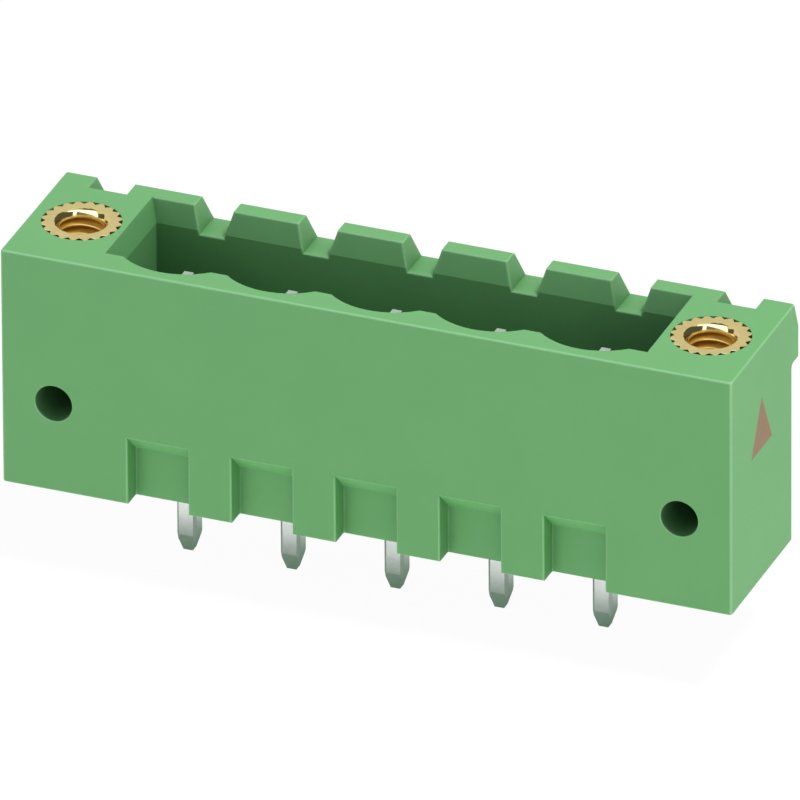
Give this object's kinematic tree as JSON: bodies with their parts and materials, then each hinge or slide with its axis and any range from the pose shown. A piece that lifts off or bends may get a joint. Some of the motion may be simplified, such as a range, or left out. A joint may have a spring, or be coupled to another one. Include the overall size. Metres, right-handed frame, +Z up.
{
  "type": "terminal block header",
  "caption": "Upright board header for a plug-in terminal block: open plug cavity with square pins, notched latch wall and a threaded screw flange at each end.",
  "frame": {"origin": "on the middle pin's axis, in the plane of the housing's underside, where it seats on the board", "axes": "+X along the row of pins, +Y from the plain front face towards the latch lip, +Z up out of the board, the way the plug leaves"},
  "size_m": [0.0356, 0.0085, 0.0159],
  "materials": {
    "housing": "moulded green polyamide with a fine satin surface",
    "contact_pin": "bright tin plating over a copper alloy",
    "threaded_insert": "turned bare brass, knurled outside"
  },
  "bodies": {
    "root": {"housing": "housing", "contact_pin_1": "contact_pin", "contact_pin_2": "contact_pin", "contact_pin_3": "contact_pin", "contact_pin_4": "contact_pin", "contact_pin_5": "contact_pin", "threaded_insert_left": "threaded_insert", "threaded_insert_right": "threaded_insert"}
  },
  "joints": []
}
